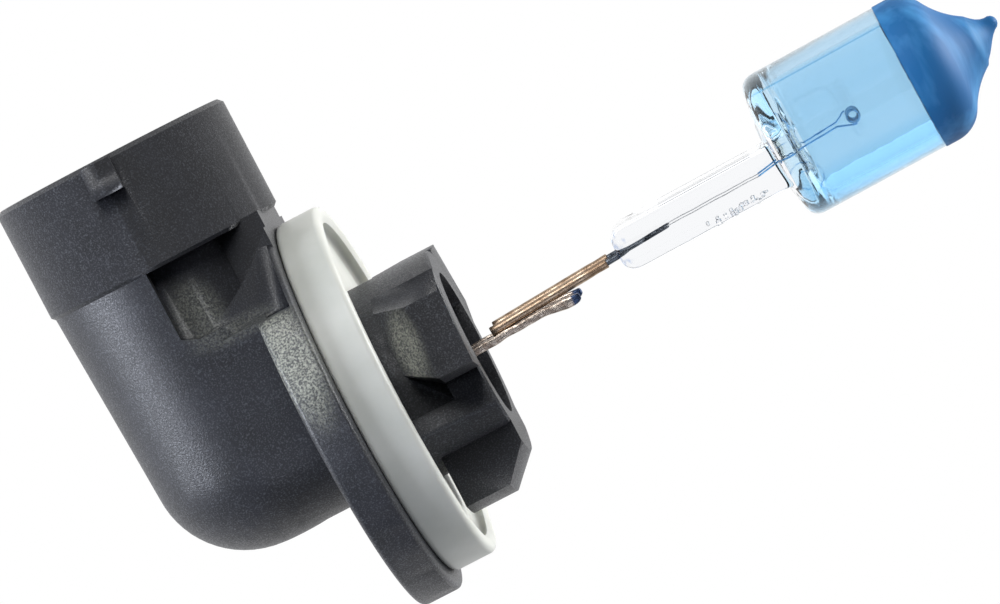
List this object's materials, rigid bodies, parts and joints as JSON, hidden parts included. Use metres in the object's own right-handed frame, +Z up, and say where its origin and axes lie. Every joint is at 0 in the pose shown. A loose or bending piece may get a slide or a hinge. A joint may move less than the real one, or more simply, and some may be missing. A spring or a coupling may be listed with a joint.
{
  "type": "halogen headlight bulb",
  "caption": "Right-angle halogen headlight and fog bulb: moulded connector elbow with bayonet neck and seal, wire-and-strip supports, and a blue-tinted glass capsule with a dark dome.",
  "frame": {"origin": "where the neck's axis crosses the bayonet's reference plane, which is the plane of the two small tabs' rear ends to within 0.1 mm", "axes": "+X along the neck's axis towards the glass tip, +Z up the connector to its mouth"},
  "size_m": [0.0609, 0.0264, 0.0342],
  "materials": {
    "housing_plastic": "charcoal glass-filled thermoplastic, fine spark-eroded grain",
    "silicone": "off-white silicone rubber, satin",
    "potting": "dark potting compound",
    "blade_metal": "tin-plated brass",
    "strip_metal": "heat-tinted nickel-iron strip",
    "sleeve_metal": "drawn bronze tube, crimped",
    "lead_metal": "drawn molybdenum wire",
    "foil_metal": "thin molybdenum foil",
    "tungsten": "coiled tungsten wire",
    "clear_glass": "clear quartz glass, fire polished",
    "blue_film": "thin blue interference film",
    "blue_lacquer": "deep blue heat-proof lacquer, satin gloss"
  },
  "bodies": {
    "root": {"base_housing": "housing_plastic", "sealing_ring": "silicone", "potting_plug": "potting", "blade_terminal_right": "blade_metal", "blade_terminal_left": "blade_metal", "support_strip_right": "strip_metal", "support_strip_left": "strip_metal", "crimp_sleeve_right": "sleeve_metal", "crimp_sleeve_left": "sleeve_metal", "lead_pin_right": "lead_metal", "lead_pin_left": "lead_metal", "foil_right": "foil_metal", "foil_left": "foil_metal", "inner_lead_right": "lead_metal", "inner_lead_left": "lead_metal", "filament_coil": "tungsten", "glass_capsule": "clear_glass", "barrel_tint": "blue_film", "dome_lacquer": "blue_lacquer"}
  },
  "joints": []
}
